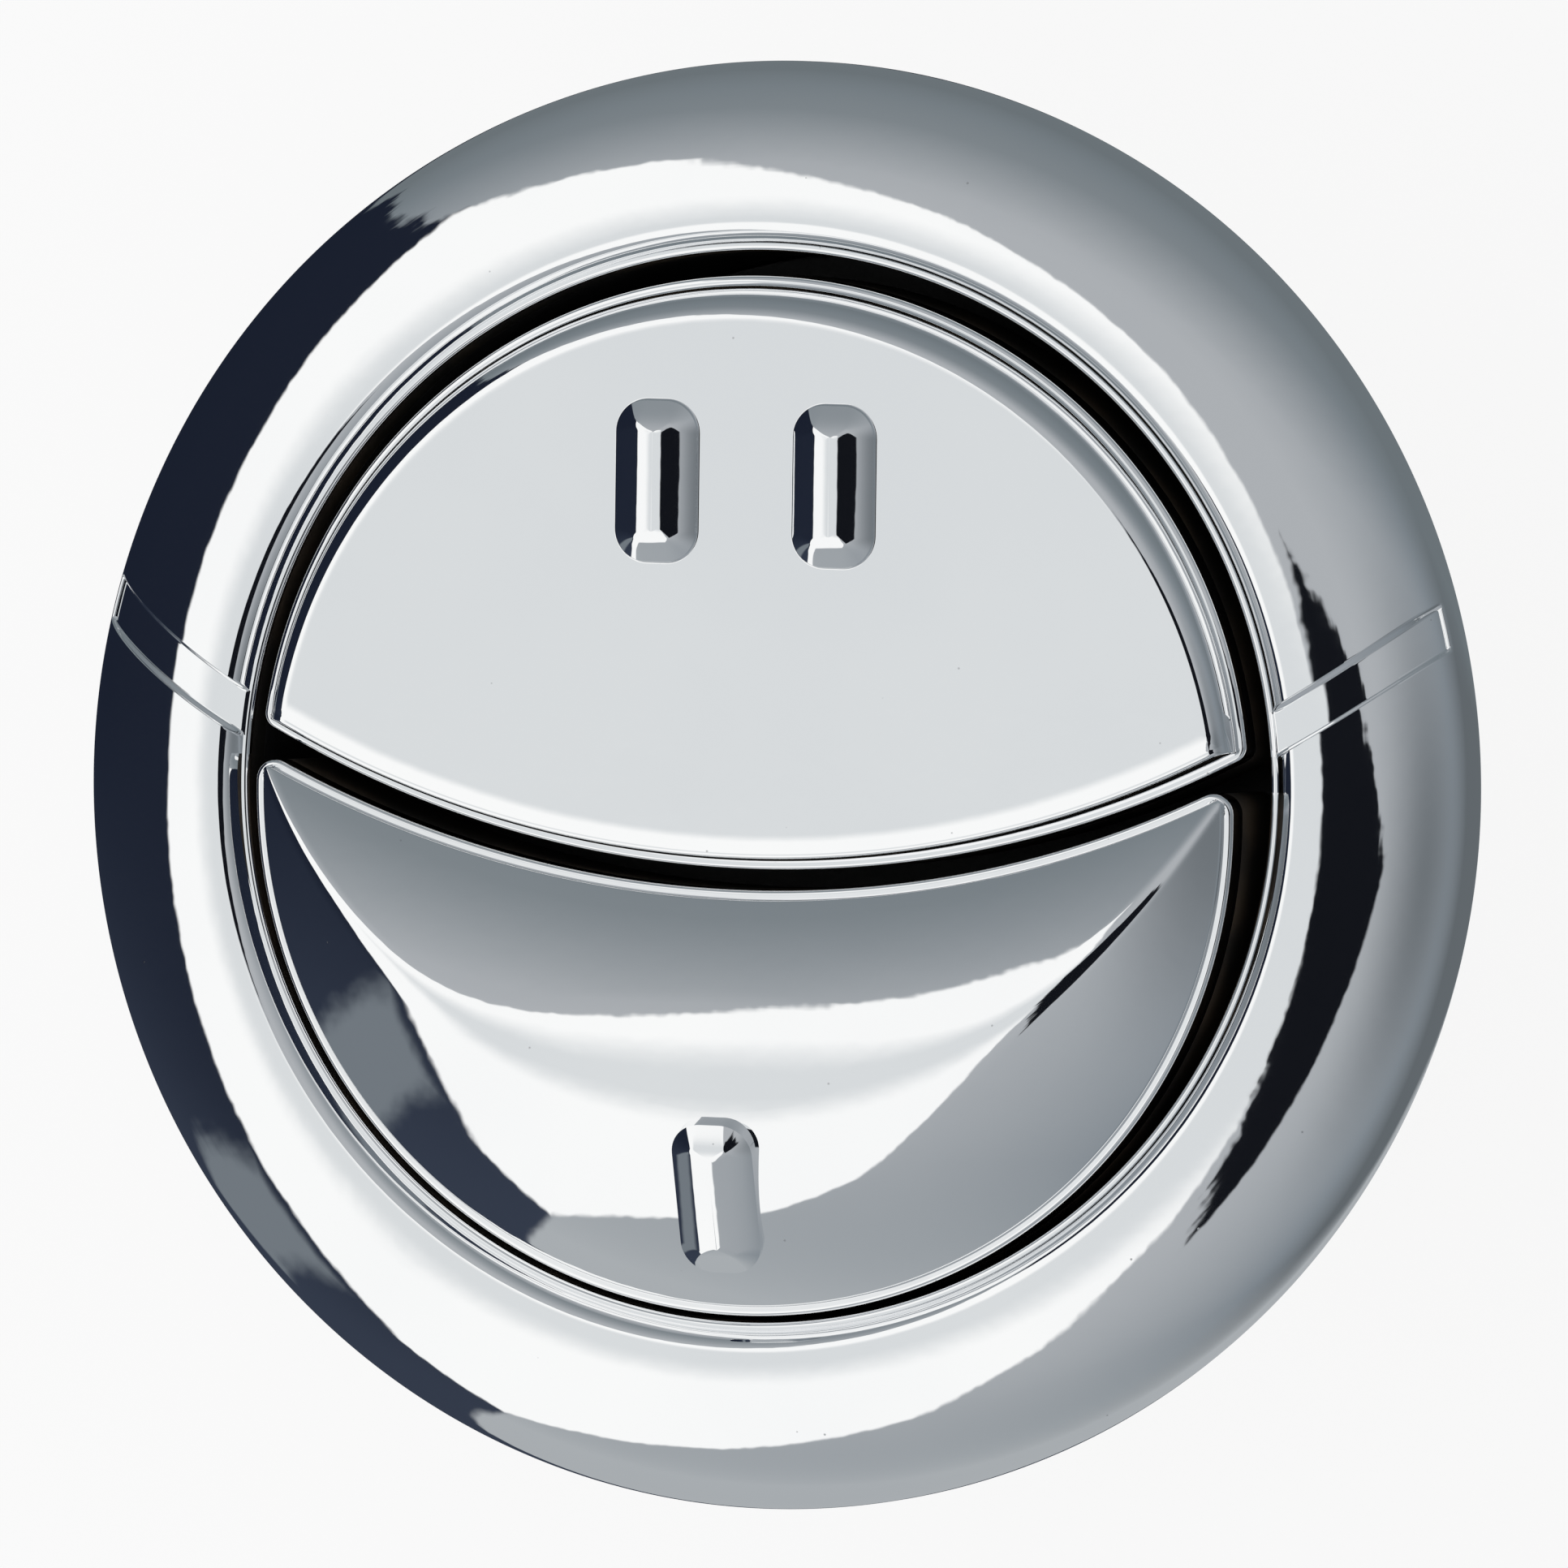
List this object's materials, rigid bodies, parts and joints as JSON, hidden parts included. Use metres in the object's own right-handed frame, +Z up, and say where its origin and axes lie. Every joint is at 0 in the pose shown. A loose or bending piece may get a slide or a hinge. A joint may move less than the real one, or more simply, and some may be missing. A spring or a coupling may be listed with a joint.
{
  "type": "dual flush push button",
  "caption": "Round chrome dual flush push button for a cistern lid: domed bezel, a large and a crescent button on sprung rods, threaded barrel with ring nut.",
  "frame": {"origin": "on the barrel's axis, in the plane where the unit sits on the lid's top", "axes": "+Z up out of the lid, +Y towards the full flush button, +X to the right seen from the half flush side"},
  "size_m": [0.073, 0.073, 0.0898],
  "materials": {
    "chrome_plate": "bright chrome plate on moulded plastic, fine orange peel",
    "black_abs": "moulded, satin, fine texture",
    "white_acetal": "moulded, slightly waxy",
    "foam_rubber": "closed-cell foam, matt",
    "grey_rubber": "moulded rubber, matt",
    "zinc_steel": "zinc plated",
    "spring_steel": "drawn stainless wire and strip"
  },
  "bodies": {
    "housing": {"bezel": "chrome_plate", "lid_gasket": "foam_rubber", "threaded_barrel": "black_abs", "guide_plate": "black_abs", "guide_plate_screws": "zinc_steel"},
    "full_flush": {"full_flush_cap": "chrome_plate", "full_flush_slider": "white_acetal", "full_flush_slider_screws": "zinc_steel", "full_flush_spring": "spring_steel", "full_flush_retaining_clip": "spring_steel", "full_flush_rod": "white_acetal", "full_flush_rod_locknut": "black_abs"},
    "half_flush": {"half_flush_cap": "chrome_plate", "half_flush_slider": "white_acetal", "half_flush_slider_screws": "zinc_steel", "half_flush_spring": "spring_steel", "half_flush_retaining_clip": "spring_steel", "half_flush_rod": "white_acetal", "half_flush_rod_locknut": "black_abs"},
    "washer": {"clamp_washer": "grey_rubber"},
    "nut": {"lock_nut": "black_abs"}
  },
  "joints": [
    {"name": "full_flush_press", "type": "slide", "parent": "housing", "child": "full_flush", "axis": [0, 0, -1], "range_m": [0, 0.006], "stiffness_N_per_m": 300, "springref_m": -0.012, "deforming": ["full_flush_spring"]},
    {"name": "half_flush_press", "type": "slide", "parent": "housing", "child": "half_flush", "axis": [0, 0, -1], "range_m": [0, 0.006], "stiffness_N_per_m": 300, "springref_m": -0.012, "deforming": ["half_flush_spring"]},
    {"name": "washer_travel", "type": "slide", "parent": "housing", "child": "washer", "axis": [0, 0, 1], "range_m": [-0.008, 0.002]},
    {"name": "nut_turn", "type": "hinge", "parent": "washer", "child": "nut", "pos_m": [0, 0, -0.011], "axis": [0, 0, 1], "range_deg": [-720.5, 180.5]}
  ],
  "couplings": [
    {"joint": "nut_turn", "follows": "washer_travel", "rad_per_m": 1570.8}
  ]
}
